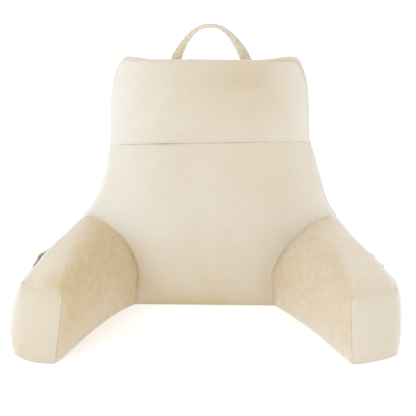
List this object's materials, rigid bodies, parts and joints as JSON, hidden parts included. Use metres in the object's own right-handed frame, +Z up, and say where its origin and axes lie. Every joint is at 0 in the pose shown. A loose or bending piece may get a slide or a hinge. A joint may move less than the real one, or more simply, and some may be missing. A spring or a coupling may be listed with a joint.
{
  "type": "reading pillow with arms",
  "caption": "Velvet reading pillow that stands on a bed: a leaning back with a head section, two splayed arms with side pockets, and a carry strap on top.",
  "frame": {"origin": "on the surface that the pillow stands on, under the middle of its outline", "axes": "+X from the left arm to the right arm as seen from the front, +Y to the rear, away from the person who leans on it, +Z up"},
  "size_m": [0.8124, 0.58, 0.6042],
  "materials": {
    "back_velvet": "short-pile cream velvet, smooth nap",
    "arm_velvet": "short-pile cream velvet, crushed and mottled nap",
    "end_velvet": "short-pile cream velvet, smooth nap",
    "pocket_velvet": "short-pile cream velvet with a hemmed rim",
    "strap_velvet": "folded velvet strap, stitched along its edges"
  },
  "bodies": {
    "root": {"back_lower": "back_velvet", "back_head": "back_velvet", "arm_left": "arm_velvet", "arm_right": "arm_velvet", "end_panel_left": "end_velvet", "end_panel_right": "end_velvet", "pocket_left": "pocket_velvet", "pocket_right": "pocket_velvet", "carry_handle": "strap_velvet"}
  },
  "joints": []
}
